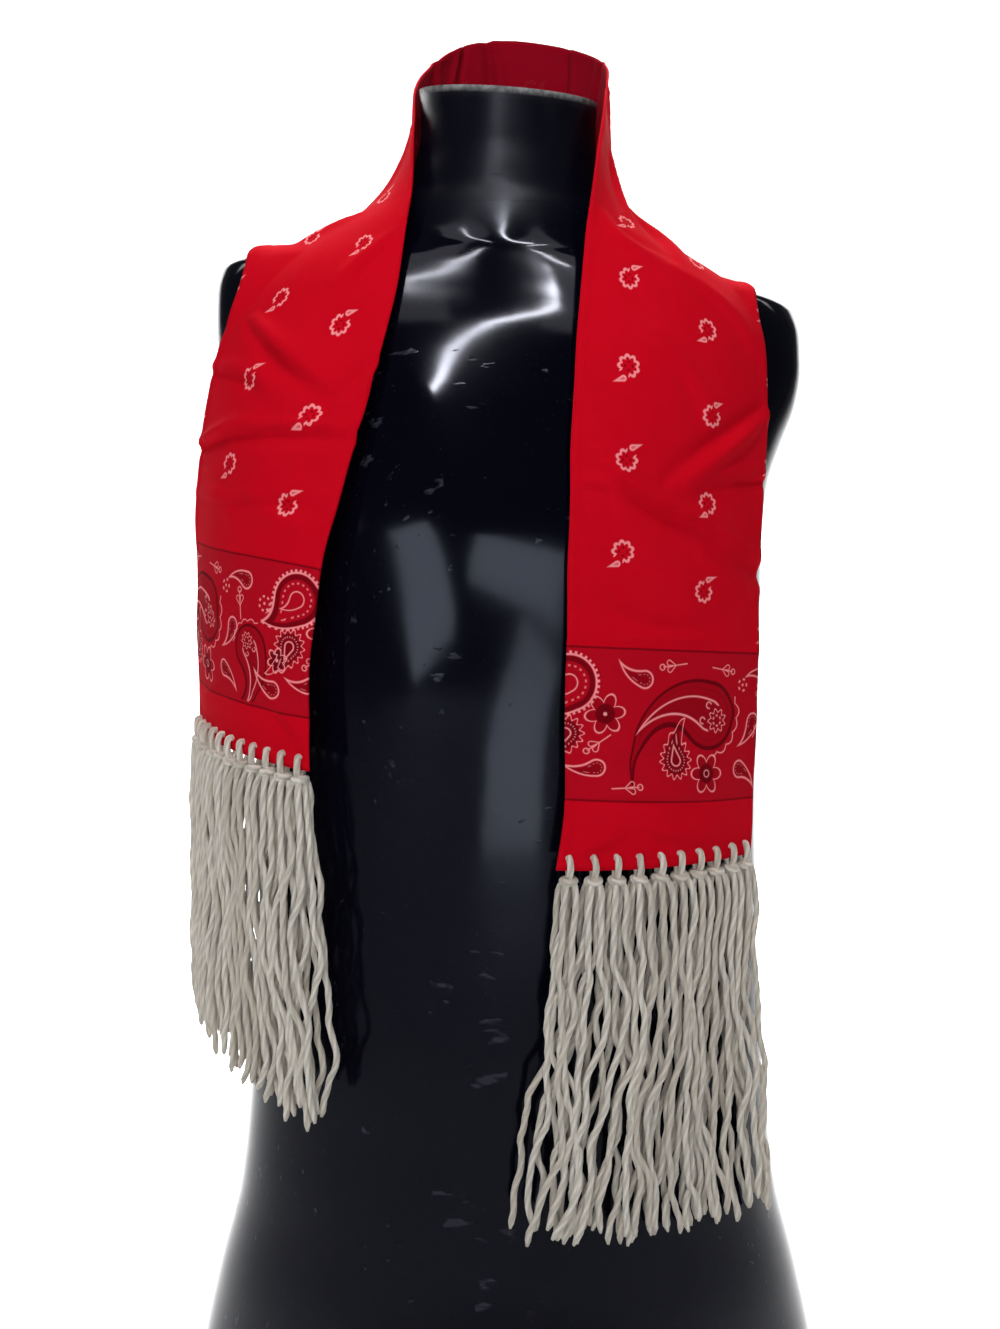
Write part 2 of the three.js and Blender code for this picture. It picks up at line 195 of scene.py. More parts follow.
CHEST = (0, 0, 0.55)
SKY = (0.84, 0.91, 1)
soft_light("key_left", (-0.5, -1.05, 2.45), (0, -0.1, 0.6), (0.5, 0.8), 2.1)
soft_light("key_right", (0.45, -1.05, 2.45), (0, -0.1, 0.6), (0.4, 0.8), 1.7)
soft_light("right_panel", (1.7, -1.3, 1.35), (0, 0, 0.6), (0.5, 1.0), 0.8)
soft_light("left_panel", (-1.7, -1.1, 1.25), (0, 0, 0.6), (0.5, 1.0), 0.8)
soft_light("window_left", (-0.88, -2.0, 0.58), CHEST, (0.56, 0.9), 8, (1, 0.2, 0.35), colour=SKY)
soft_light("window_right", (0.12, -2.2, 0.56), CHEST, (0.9, 0.4), 5.4, (1, 0, -0.25), colour=SKY)
soft_light("window_low", (0.08, -1.3, 0.14), CHEST, (0.26, 0.5), 1.7, (1, 0, -0.5), colour=SKY)
soft_light("backdrop_left", (-1.7, 1.0, 2.7), (-0.8, 2.2, 0.9), (1.4, 1.4), 85, spread=95)
soft_light("backdrop_right", (1.7, 1.0, 2.7), (0.8, 2.2, 0.9), (1.4, 1.4), 85, spread=95)
soft_light("floor_panel", (0, 0.95, 2.3), (0, 0.85, 0), (0.9, 0.7), 36, spread=64)
soft_light("throat_left", (-0.17, -0.53, 1.55), (-0.03, -0.07, 0.79), (0.2, 0.012), 0.6)
soft_light("throat_right", (0.2, -0.5, 1.57), (0.03, -0.07, 0.79), (0.1, 0.012), 0.3, (1, 0.3, 0))
upper_chest, slanting = (0, -0.09, 0.74), (0.48, 0.27, 0.3)
soft_light("strip_light", (-0.04, -0.73, 1.45), upper_chest, (0.62, 0.022), 3.9, slanting)
world = bpy.data.worlds.new("studio_air")
world.use_nodes = True
world.node_tree.nodes["Background"].inputs["Color"].default_value = (0.92, 0.95, 1.0, 1)
world.node_tree.nodes["Background"].inputs["Strength"].default_value = 0.06
bpy.context.scene.world = world


# Display form: a hollow moulded torso of black gloss plastic, with no head, arms or legs. Its
# level sections are given in millimetres. It stands on a flat base, with a sloped neck cap and
# a flat cap for each arm, whose rims are painted pale: scuffs from handling on the arm caps,
# and a painted highlight along the neck cap's rim.
FORM_SECTIONS = np.array([
    # level, half width, front, back, roundness
    (0, 222, 112, 126, 2.3), (50, 216, 114, 126, 2.3), (110, 203, 111, 116, 2.25),
    (175, 187, 104, 104, 2.2), (240, 180, 100, 99, 2.2), (350, 173, 101, 102, 2.2),
    (450, 171, 106, 110, 2.2), (540, 172, 114, 117, 2.2), (610, 172, 117, 120, 2.2),
    (650, 176, 112, 120, 2.2), (685, 187, 105, 117, 2.2), (712, 200, 98, 112, 2.2),
    (740, 211, 90, 106, 2.15), (762, 214, 82, 98, 2.05), (779, 209, 76, 90, 1.9),
    (788, 190, 73, 86, 1.78), (794, 165, 71, 83, 1.7), (803, 137, 69, 79, 1.65),
    (813, 115, 67, 75, 1.7), (823, 97, 65, 72, 1.8), (833, 81, 63, 70, 1.9),
    (846, 70, 62, 67, 2), (862, 63, 61, 63, 2), (884, 59, 61, 60, 2), (945, 61, 61, 58, 2),
])
FORM_LEVELS = [
    0, 40, 80, 125, 180, 240, 320, 400, 480, 550, 610, 655, 685, 712, 738, 757, 771, 781, 788, 794,
    801, 808, 816, 824, 833, 843, 856, 872, 890, 913,
]
RINGS_PER_LEVEL = 5
FORM_SIDES = 220
ARM_CAP = 198
CAP_ROUNDING = 20
SHOULDER_DROP = 15
NECK_ROOT = 842
NECK_CAP_LEVEL = 913
NECK_CAP_SLOPE = 0.36
ARM_RIM_WIDTH = 0.018
ARM_RIM_WEAR = 0.4
NECK_RIM = 5
MM = 0.001
# levels in metres above and below which the gloss is duller than on the chest
DULL_ABOVE, DULL_BELOW = 0.797, 0.71


def smoothstep(value, low, high):
    t = np.clip((value - low) / (high - low), 0, 1)
    return t * t * (3 - 2 * t)


def down_the_sections(level, column):
    """smooth curve through one column of the form's sections, without overshoot"""
    z, v = FORM_SECTIONS[:, 0], FORM_SECTIONS[:, column]
    steep = np.diff(v) / np.diff(z)
    before, after = steep[:-1], steep[1:]
    same = before * after > 0
    lean = np.zeros(len(z))
    lean[1:-1][same] = (2 * before * after)[same] / (before + after)[same]
    i = np.clip(np.searchsorted(z, level, side="left") - 1, 0, len(z) - 2)
    span = z[i + 1] - z[i]
    t = np.clip((level - z[i]) / span, 0, 1)
    rise = (v[i + 1] - v[i]) * t * t * (3 - 2 * t)
    return v[i] + rise + lean[i] * span * t * (1 - t) ** 2 - lean[i + 1] * span * t * t * (1 - t)


def section_at(level):
    half, front, back, roundness = (down_the_sections(level, column) for column in (1, 2, 3, 4))
    return half, (front + back) / 2, (back - front) / 2, roundness


def shoulder_share(p):
    return smoothstep(p[..., 2], 600, 780)


def level_of(p):
    return p[..., 2] + SHOULDER_DROP * shoulder_share(p) * p[..., 0] / ARM_CAP


def capped(body, p):
    cap = shoulder_share(p) * (np.abs(p[..., 0]) / ARM_CAP) ** CAP_ROUNDING
    return (body ** CAP_ROUNDING + cap) ** (1 / CAP_ROUNDING)


def form_field(p):
    half, depth, middle, roundness = section_at(level_of(p))
    across = np.abs(p[..., 0] / half) ** roundness
    deep = np.abs((p[..., 1] - middle) / depth) ** roundness
    return capped((across + deep) ** (1 / roundness), p) - 1


def lift_off_form(p, clearance, passes=8):
    """moves points straight out until they are the given distance clear of the form"""
    p = np.array(p, float)
    for _ in range(passes):
        here = form_field(p)
        slope = np.stack([(form_field(p + step) - here) * 2 for step in np.eye(3) * 0.5], -1)
        size = np.linalg.norm(slope, axis=-1)
        short = np.maximum(clearance - here / size, 0)
        p = p + slope * (short / size)[..., None]
    return p


def set_places(piece, places):
    piece.data.vertices.foreach_set("co", np.ascontiguousarray(places, np.float32).ravel())
    piece.data.update()


bare_start()
bpy.ops.mesh.primitive_grid_add(
    x_subdivisions=FORM_SIDES,
    y_subdivisions=(len(FORM_LEVELS) - 1) * RINGS_PER_LEVEL,
    size=1,
)
form = bpy.context.object
form.name = "display_form"
grid = np.array([v.co[:] for v in form.data.vertices])
ring = (grid[:, 1] + 0.5) * (len(FORM_LEVELS) - 1)
level = np.interp(ring, range(len(FORM_LEVELS)), FORM_LEVELS)
angle = 2 * math.pi * (grid[:, 0] + 0.5)
places = np.stack([0 * level, 0 * level, level], -1)
for _ in range(8):
    half, depth, middle, roundness = section_at(level_of(places))
    places[:, 0] = half * np.sign(np.cos(angle)) * np.abs(np.cos(angle)) ** (2 / roundness)
    deep = depth * np.sign(np.sin(angle)) * np.abs(np.sin(angle)) ** (2 / roundness)
    inward = 1 / capped(1, places)
    places[:, 0] *= inward
    places[:, 1] = middle + deep * inward
    tilt = NECK_CAP_SLOPE * smoothstep(level, NECK_ROOT, NECK_CAP_LEVEL)
    places[:, 2] += level + tilt * places[:, 1] - level_of(places)
half, depth, middle, roundness = section_at(level_of(places))
body = np.abs(places[:, 0] / half) ** roundness
body = (body + np.abs((places[:, 1] - middle) / depth) ** roundness) ** (1 / roundness)
cap = np.abs(places[:, 0]) / ARM_CAP
arm_rim = np.exp(-((body - cap) / ARM_RIM_WIDTH) ** 2)
arm_rim *= ARM_RIM_WEAR * smoothstep(cap, 0.9, 0.97) * shoulder_share(places)
# the neck cap's rim band, which is later painted pale as a painted highlight along its edge
neck_rim = smoothstep(level, NECK_CAP_LEVEL - NECK_RIM, NECK_CAP_LEVEL)
set_places(form, places * MM)
rim = form.data.attributes.new("rim", "FLOAT", "POINT")
rim.data.foreach_set("value", np.maximum(arm_rim, neck_rim).astype(np.float32))
bpy.ops.object.mode_set(mode="EDIT")
bpy.ops.mesh.select_mode(type="VERT")
bpy.ops.mesh.select_all(action="SELECT")
bpy.ops.mesh.remove_doubles(threshold=0.00002)
bpy.ops.mesh.select_all(action="DESELECT")
bpy.ops.mesh.select_non_manifold()
bpy.ops.mesh.fill_holes(sides=0)
bpy.ops.object.mode_set(mode="OBJECT")
for polygon in form.data.polygons:
    polygon.select = len(polygon.vertices) > 4
bpy.ops.object.mode_set(mode="EDIT")
bpy.ops.mesh.select_mode(type="FACE")
bpy.ops.mesh.inset(thickness=0.0012, use_individual=True)
bpy.ops.mesh.inset(thickness=0.03, use_individual=True)
bpy.ops.mesh.select_all(action="SELECT")
bpy.ops.mesh.normals_make_consistent(inside=False)
bpy.ops.object.mode_set(mode="OBJECT")
bpy.ops.object.shade_smooth_by_angle(angle=math.radians(35))

gloss = Finish("black_gloss", Specular_IOR_Level=0.19, Specular_Tint=(0.84, 0.87, 1, 1))
place = gloss.add("ShaderNodeTexCoord", out=3)
rim = gloss.add("ShaderNodeAttribute", {"attribute_name": "rim"}, out=2)
clouds = gloss.noise(place, 6.0, 4.0)
dust = gloss.noise(place, 900.0, 2.0)
rim_wear_and_glint = gloss.noise(place, 160.0, 4.0, 0.7)
# painted pale along the rims, broken up by noise: scuffs on the arm caps, and a painted highlight
# along the neck cap's rim
scuff_and_rim_highlight = (rim * (rim_wear_and_glint * 3.2 - 0.9)).held_to_one()
slant = {"Vector": place, "Rotation": (0.4, 0.7, 0.3), "Scale": (14, 160, 40)}
streaks = gloss.add("ShaderNodeMapping", {}, slant)
scratch = ((gloss.noise(streaks, 3.0, 2.0) - 0.66) * 14).held_to_one()
scratch = scratch * (gloss.noise(place, 11.0, 2.0) > 0.52)
black = gloss.mix(clouds, (0.0008, 0.0008, 0.0028, 1), (0.0018, 0.0018, 0.0058, 1))
black = gloss.mix((dust > 0.74) * 0.25, black, (0.16, 0.16, 0.18, 1))
black = gloss.mix(scratch * 0.2, black, (0.09, 0.09, 0.11, 1))
gloss.shade("Base Color", gloss.mix(scuff_and_rim_highlight * 0.75, black, (0.42, 0.41, 0.4, 1)))
haze = ((gloss.noise(place, 9.0, 2.0) - 0.46) * 4).held_to_one()
up = gloss.add("ShaderNodeSeparateXYZ", {}, {0: place}, out=2)
dull_neck = ((up - DULL_ABOVE) * 9).most(0).least(0.26)
dull_belly = ((DULL_BELOW - up) * 0.8).most(0).least(0.05)
smear = 0.035 + clouds * 0.05 + haze * 0.05 + dull_neck + dull_belly
gloss.shade("Roughness", smear + scratch * 0.2 + scuff_and_rim_highlight * 0.5)
relief = clouds * 0.35 + scratch * 0.05 + scuff_and_rim_highlight * 0.1
bump = gloss.add("ShaderNodeBump", {}, {"Strength": 0.35, "Distance": 0.004, "Height": relief})
gloss.shade("Normal", bump)
form.data.materials.append(gloss.material)
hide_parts("torso_form")
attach(form, "root")


# Scarf: one long strip of plain-weave red cotton, printed, with a narrow hem all round. It hangs
# round the neck of the form with both ends down the front, and stands up behind the neck. It is
# given by cross lines from the right end's hem to the left end's, in millimetres.
STATIONS = np.array([
    # inner edge x y z, outer edge x y z, bow
    (27, -122, 415, 155, -60, 411, 13), (33, -122, 461, 157, -60, 451, 12),
    (32, -122, 505, 158, -60, 500, 11), (33, -122, 552, 159, -60, 545, 11),
    (34, -122, 615, 160, -59, 610, 12), (36, -118, 672, 163, -58, 666, 13),
    (40, -104, 734, 161, -62, 718, 12), (45, -89, 784, 156, -49, 758, 9),
    (50, -75, 820, 150, -2, 786, 2), (57, -55, 860, 142, 44, 783, -6),
    (64, -24, 903, 117, 67, 790, -9), (69, 12, 937, 86, 79, 809, -9),
    (61, 44, 963, 52, 87, 830, -6), (38, 68, 982, 20, 91, 843, 0), (4, 77, 991, -12, 90, 847, 0),
    (-30, 69, 984, -46, 87, 841, -4), (-54, 42, 957, -80, 81, 823, -10),
    (-63, 6, 922, -110, 69, 807, -14), (-62, -30, 880, -138, 49, 804, -10),
    (-60, -58, 832, -150, 0, 809, 1), (-64, -78, 789, -165, -42, 776, 9),
    (-72, -97, 735, -182, -48, 742, 12), (-85, -110, 684, -196, -37, 704, 14),
    (-99, -114, 632, -206, -25, 655, 15), (-112, -112, 580, -210, -18, 602, 15),
    (-118, -109, 525, -211, -15, 542, 14), (-119, -108, 471, -210, -15, 487, 13),
], float)
LAST = len(STATIONS) - 1
ROWS_PER_STATION = 21
COLUMNS = 66
STRIP_WIDTH = 142
STRIP_LENGTH = 1215
MIDDLE_OF_WALL = 1.75
WALL = 1.6
HEM = 5.5
WARP_PITCH = 0.62
WEFT_PITCH = 0.66

# A crease runs from one place to another. A place is a station and a share of the width from the
# inner edge. Height lifts its middle line, and step lifts one side of it and sinks the other.
CREASES = [
    # from, to, height, step, half width
    ((5.45, 0.97), (4.55, 0.46), 1.8, 4.0, 8.5),
    ((4.7, 1.02), (4.5, 0.62), -1.0, -3.0, 6.0),
    ((4.6, 0.14), (4.05, 0.72), 1.2, 4.2, 7.0),
    ((4.42, 0.04), (4.22, 0.2), 0.8, 2.2, 5.0),
    ((4.12, 0.5), (3.72, 1.04), -1.6, 4.4, 8.0),
    ((3.82, 0.62), (3.6, 1.04), 1.4, -3.6, 5.5),
    ((5.9, 0.3), (5.2, 0.6), 0.6, 1.6, 8.0),
    ((3.5, 0.1), (3.2, 0.62), 0.6, 1.8, 8.0),
    ((2.98, 0.02), (2.9, 0.98), 0.9, 1.6, 5.0),
    ((0.92, 0.04), (0.9, 0.7), 0.6, 1.2, 5.0),
    ((2.4, 0.75), (2.1, 1.0), 0.5, -0.9, 8.0),
    ((1.3, 0.1), (1.7, 0.5), 0.4, 0.8, 12.0),
    ((0.62, 0.34), (0.34, 0.66), 0.7, 1.6, 6.0),
    ((0.25, 0.12), (0.5, 0.3), 0.4, 0.9, 7.0),
    ((6.9, 0.5), (6.1, 0.95), 0.7, 1.2, 10.0),
    ((7.7, 0.12), (7.1, 0.42), 1.2, -1.8, 8.0),
    ((8.4, 0.3), (7.3, 0.5), 1.6, 2.4, 9.0),
    ((9.4, 0.12), (8.1, 0.24), 1.0, 2.0, 7.0),
    ((9.0, 0.75), (8.2, 0.98), 1.4, 1.8, 9.0),
    ((10.3, 0.05), (10.9, 0.8), 1.8, 2.2, 9.0),
    ((11.6, 0.02), (12.0, 0.55), 1.4, -2.0, 7.0),
    ((12.7, 0.0), (12.4, 0.7), 1.8, 2.4, 8.0),
    ((13.5, 0.3), (13.9, 1.0), 1.0, -1.6, 8.0),
    ((14.5, 0.0), (14.2, 0.66), 2.4, 3.0, 7.0),
    ((15.1, 0.0), (15.35, 0.4), 2.8, -3.6, 6.0),
    ((15.9, 0.02), (16.4, 0.9), 1.4, 2.2, 9.0),
    ((16.9, 0.1), (17.2, 0.75), 1.2, -1.8, 8.0),
    ((17.9, 0.06), (18.6, 0.5), 1.2, 1.8, 8.0),
    ((19.1, 0.4), (19.7, 0.95), 1.2, 2.0, 10.0),
    ((19.9, 0.08), (20.6, 0.3), 0.8, -1.4, 8.0),
    ((20.95, 0.76), (21.85, 0.2), 1.6, 3.4, 9.0),
    ((21.55, 1.02), (21.95, 0.5), 0.8, 2.2, 7.0),
    ((21.5, 0.0), (22.2, 0.16), -0.8, 1.8, 7.0),
    ((22.62, 1.02), (22.36, 0.52), 1.4, 3.9, 6.5),
    ((22.42, 0.6), (22.3, 0.02), 1.0, 3.0, 6.0),
    ((23.2, 0.98), (23.05, 0.06), 0.8, 1.4, 5.0),
    ((23.1, 0.9), (23.4, 0.5), 0.4, -0.9, 10.0),
    ((23.3, 0.06), (23.1, 0.4), 0.5, 1.0, 9.0),
    ((24.3, 0.9), (24.6, 0.6), 0.5, 1.0, 8.0),
    ((25.3, 0.3), (25.7, 0.06), 0.7, 1.5, 7.0),
    ((25.5, 0.95), (25.2, 0.6), 0.6, -1.2, 8.0),
]


def along_strip(station):
    """the strip's table at stations that lie between its rows"""
    ends = [2 * STATIONS[0] - STATIONS[1], 2 * STATIONS[-1] - STATIONS[-2]]
    rows = np.vstack([ends[0], STATIONS, ends[1]])
    i = np.clip(np.floor(station).astype(int), 0, LAST - 1)
    t = (station - i)[..., None]
    a, b, c, d = rows[i], rows[i + 1], rows[i + 2], rows[i + 3]
    m, n = (c - a) / 2, (d - b) / 2
    return (2 * b - 2 * c + m + n) * t ** 3 + (3 * c - 3 * b - 2 * m - n) * t ** 2 + m * t + b


def flat_point(station, share):
    row = along_strip(station)
    return row[..., 0:3] + (row[..., 3:6] - row[..., 0:3]) * share[..., None]


def flat_normal(station, share):
    row = along_strip(station)
    ahead = flat_point(np.minimum(station + 0.1, LAST), share)
    behind = flat_point(np.maximum(station - 0.1, 0), share)
    out = np.cross(row[..., 3:6] - row[..., 0:3], ahead - behind)
    return out / np.linalg.norm(out, axis=-1, keepdims=True)


def slow_waves(x, y, seed, steps):
    """smooth unevenness: waves of several lengths and headings, from -1 to 1"""
    chance = np.random.default_rng(seed)
    total = 0
    for length in steps:
        heading, start = chance.uniform(0, math.pi), chance.uniform(0, 2 * math.pi)
        run = x * math.cos(heading) + y * math.sin(heading)
        total = total + np.sin(2 * math.pi * run / length + start)
    return total / len(steps)


def crease_lift(station, share, points):
    """how far the creases lift each point of the strip off its smooth form"""
    lift = np.zeros(points.shape[:-1])
    for number, (start, end, height, step, half_width) in enumerate(CREASES):
        near = (station > min(start[0], end[0]) - 1.2) & (station < max(start[0], end[0]) + 1.2)
        spots = points[near]
        run = np.linspace(0, 1, 25)
        bend = 0.05 * math.sin(2.4 * number) * np.sin(math.pi * run)
        line = flat_point(
            start[0] + (end[0] - start[0]) * run + bend * 2,
            start[1] + (end[1] - start[1]) * run + bend,
        )
        gap = np.linalg.norm(spots[:, None, :] - line[None, :, :], axis=2)
        nearest = gap.argmin(axis=1)
        way = np.gradient(line, axis=0)[nearest]
        side = np.cross(way, spots - line[nearest])
        out = flat_normal(station[near], share[near])
        signed = gap.min(axis=1) * np.sign((side * out).sum(axis=1))
        part = run[nearest]
        width = half_width * (0.5 + 0.4 * part)
        fade = np.sin(math.pi * np.clip(0.14 + 0.8 * part, 0, 1)) ** 0.8
        off = signed / width
        ridge = 1.9 * height * np.exp(-1.4 * np.abs(off))
        lift[near] += fade * (ridge + 2.7 * step * off * np.exp(-off * off))
    return lift


station, share = np.meshgrid(
    np.linspace(0, LAST, LAST * ROWS_PER_STATION + 1),
    np.linspace(0, 1, COLUMNS + 1),
    indexing="ij",
)
flat = flat_point(station, share)
middle_line = flat_point(station[:, 0], np.full(len(station), 0.5))
pace = np.linalg.norm(np.diff(middle_line, axis=0), axis=1)
along = np.concatenate([[0], np.cumsum(pace)])
along = (along * STRIP_LENGTH / along[-1])[:, None] * np.ones_like(share)
across = share * STRIP_WIDTH
lift = along_strip(station)[..., 6] * 4 * share * (1 - share)
lift += crease_lift(station, share, flat)
lift += 0.9 * slow_waves(across, along, 3, (310, 190, 130, 95))
lift += 0.32 * slow_waves(across, along, 8, (70, 52, 41, 33, 27))
edge = np.minimum(share, 1 - share) * STRIP_WIDTH
lift += 1.3 * np.exp(-edge / 9) * slow_waves(across, along, 21, (150, 83, 61))
inside = lift_off_form(flat + flat_normal(station, share) * lift[..., None], MIDDLE_OF_WALL)
softened = inside.copy()
softened[1:-1] = (inside[:-2] + 2 * inside[1:-1] + inside[2:]) / 4
softened[:, 1:-1] = (softened[:, :-2] + 2 * softened[:, 1:-1] + softened[:, 2:]) / 4
inside = lift_off_form(softened, MIDDLE_OF_WALL)


def woven_sheet(name, points, across, along, hem_share):
    """a sheet of cloth through a grid of points, with its cut as a UV map and its hem marked"""
    rows, columns = points.shape[:2]
    index = np.arange(rows * columns).reshape(rows, columns)
    corners = [index[:-1, :-1], index[:-1, 1:], index[1:, 1:], index[1:, :-1]]
    faces = np.stack([corner.ravel() for corner in corners], -1)
    mesh = bpy.data.meshes.new(name)
    mesh.from_pydata((points.reshape(-1, 3) * MM).tolist(), [], faces.tolist())
    cut = mesh.uv_layers.new(name="cut")
    where = np.stack([across.ravel(), along.ravel()], -1) * MM
    order = np.array([loop.vertex_index for loop in mesh.loops])
    cut.data.foreach_set("uv", where[order].astype(np.float32).ravel())
    sheet = bpy.data.objects.new(name, mesh)
    bpy.context.collection.objects.link(sheet)
    group = sheet.vertex_groups.new(name="hem")
    for number, weight in enumerate(hem_share.ravel().tolist()):
        group.add([number], weight, "REPLACE")
    return sheet


from_end = np.minimum(along, along.max() - along)
from_hem = np.minimum(edge, from_end)
hem_share = 0.35 + 0.65 * smoothstep(-from_hem, -HEM - 1.5, -HEM + 0.5)
scarf = woven_sheet("scarf", inside, across, along, hem_share)
bare_start()
scarf.select_set(True)
bpy.context.view_layer.objects.active = scarf
for face in range(2):
    bpy.ops.object.material_slot_add()
wall = scarf.modifiers.new("wall", "SOLIDIFY")
wall.thickness = WALL * MM
wall.offset = 0
wall.vertex_group = "hem"
wall.use_even_offset = False
wall.material_offset = 1
wall.material_offset_rim = 0
bpy.ops.object.modifier_apply(modifier="wall")
bpy.ops.object.shade_smooth()


class Print:
    """the printed pattern of the cloth, in millimetres of the flat strip"""

    PERIOD = 190
    BAND = 93
    BAND_FROM_END = 40
    LEFT_BAND_DROP = 7
    LEFT_MIRROR = 205
    BULB = 20.5
    RING_COLUMN = 58
    RING_ROW = 54

    def __init__(self, finish):
        self.finish = finish
        cut = finish.add("ShaderNodeUVMap", {"uv_map": "cut"})
        self.across = finish.add("ShaderNodeSeparateXYZ", {}, {0: cut}, out=0) * 1000
        self.along = finish.add("ShaderNodeSeparateXYZ", {}, {0: cut}, out=1) * 1000
        self.left = self.along > STRIP_LENGTH / 2
        self.from_end = self.along.least(STRIP_LENGTH - self.along)
        self.height = self.from_end - self.BAND_FROM_END + self.left * self.LEFT_BAND_DROP
        turned = self.LEFT_MIRROR - self.across
        self.place = self.across + self.left * (turned - self.across)
        self.light = self.dark = None

    def soft(self, distance, edge=0.45):
        """one inside an outline and nothing outside it"""
        return distance.math("MULTIPLY_ADD", -1 / edge, 0.5, clamp=True)

    def line(self, distance, width):
        return abs(distance).math("MULTIPLY_ADD", -2.2, 1.1 * width + 0.5, clamp=True)

    def draw(self, light=None, dark=None):
        if light is not None:
            self.light = light if self.light is None else self.light.most(light)
        if dark is not None:
            self.dark = dark if self.dark is None else self.dark.most(dark)

    def at(self, centre, turn=0.0, flip=1):
        """distance and angle from a motif's own middle"""
        x, y = centre
        aside = (self.place - x).math("WRAP", self.PERIOD / 2, -self.PERIOD / 2)
        return self.round_about(aside * flip, self.height - y, turn)

    def round_about(self, x, y, turn=0.0):
        far = (x * x + y * y).math("SQRT")
        angle = y.math("ARCTAN2", x)
        if turn:
            angle = (angle - math.radians(turn)).math("WRAP", math.pi, -math.pi)
        return far, angle

    def drop(self, far, angle, bulb, tip, bend=0.0):
        """distance to a leaf drop with a round bulb and one drawn-out tip, which may bend"""
        if bend:
            angle = (angle + (far - bulb).most(0) * (bend / tip)).math("WRAP", math.pi, -math.pi)
        lean = (math.acos(bulb / tip) - abs(angle)).most(0)
        return far * lean.math("COSINE") - bulb

    def small_drop(self, centre, turn, bulb=5.2, tip=19, bend=0.5, flip=1):
        far, angle = self.at(centre, turn, flip)
        gap = self.drop(far, angle, bulb, tip, bend)
        veins = self.line(gap + 2.1, 0.3) * ((angle * 9).math("SINE") > 0.1)
        self.draw(self.line(gap, 1.1).most(veins * 0.8), self.soft(gap + 1.2) * 0.55)

    def star(self, centre, size, turn=0.0, ring=False):
        far, angle = self.at(centre, turn)
        petal = abs((angle * 3).math("COSINE"))
        gap = far - size * (0.56 + petal * 0.44)
        heart = self.line(far - 2.1, 0.7) if ring else self.soft(far - 1.2)
        shaded = self.soft(gap + 0.8) * (0.35 + 0.6 * self.soft(far - 6))
        self.draw(self.line(gap, 1.15).most(heart), shaded)

    def sprig(self, centre, turn, flip=1):
        far, angle = self.at(centre, turn, flip)
        x = far * angle.math("COSINE")
        y = abs(far * angle.math("SINE"))
        stem = self.soft(y - 0.35) * self.soft(abs(x) - 9)
        leaf_far, leaf_angle = self.round_about(x - 4.4, y - 2.1, 205)
        leaf = self.line(self.drop(leaf_far, leaf_angle, 1.6, 5.6), 0.6)
        bud_far = ((x - 9.5) * (x - 9.5) + y * y).math("SQRT")
        self.draw(stem.most(leaf).most(self.line(bud_far - 1.7, 0.7)))

    def dots(self, centre, size, count, turn=0.0):
        far, angle = self.at(centre, turn)
        sector = (angle * count).math("COSINE") > 0.2
        self.draw((self.line(far - size, 1.3) * sector).most(self.soft(far - 0.9)))

    def toothed_round(self, centre, turn):
        far, angle = self.at(centre, turn)
        gap = self.drop(far, angle, 16.5, 30, 0.8)
        teeth = self.soft(abs(gap - 1.0) - 1.0) * ((angle * 34).math("SINE") > 0.1)
        inner = self.line(self.drop(far, angle, 5.0, 13, 0.6), 0.8)
        beads = self.line(gap + 6.5, 1.0) * ((angle * 17).math("SINE") > 0.25)
        light = self.line(gap, 1.2).most(teeth).most(inner).most(beads * 0.7)
        self.draw(light, self.soft(abs(gap + 2.6) - 1.6) * 0.85)

    def great_paisley(self, centre, turn, flip=1, bulb=BULB):
        far, angle = self.at(centre, turn, flip)
        far = far * (self.BULB / bulb)
        gap = self.drop(far, angle, self.BULB, 71, 1.6)
        scallop = abs((angle * 8).math("SINE")) * 2.2
        lace = self.line(gap - 3.4 - scallop, 0.9) * (abs(angle) > 2.2)
        heart_gap = self.drop(far, angle, 9.5, 52, 0.8)
        cluster_far, cluster_angle = self.round_about(
            far * angle.math("COSINE") + 7.5, far * angle.math("SINE"),
        )
        jagged = cluster_far - 6.4 - (cluster_angle * 9).math("SINE") * 1.1
        open_heart = self.soft(-1 * (cluster_far - 9.5))
        heart = self.line(heart_gap, 1.3) * open_heart
        scroll_far, scroll_angle = self.round_about(
            far * angle.math("COSINE") - 3.2, abs(far * angle.math("SINE")) - 5.4,
        )
        scroll = self.line(scroll_far - 2, 0.9) * (abs(scroll_angle) < 2.4)
        beads = self.line(cluster_far - 3.2, 1.1) * ((cluster_angle * 6).math("COSINE") > 0)
        light = heart.most(self.line(jagged, 0.9)).most(scroll).most(beads).most(lace)
        outline = self.line(gap, 2.6).most(self.line(gap + 5, 0.8) * 0.6)
        self.draw(light, outline.most(self.soft(gap) * 0.28).most(self.soft(heart_gap) * 0.45))

    def jagged_leaf(self, centre, turn, flip=1):
        far, angle = self.at(centre, turn, flip)
        gap = self.drop(far, angle, 8.6, 22, 0.5)
        edge = self.line(gap - 1.5 - (angle * 14).math("SINE") * 1.3, 0.9)
        heart = self.line(self.drop(far, angle, 3.2, 9.5), 0.9)
        beads = self.line(gap + 2.4, 0.9) * ((angle * 22).math("SINE") > 0.3)
        self.draw(edge.most(heart).most(beads * 0.8), self.soft(gap) * 0.75)

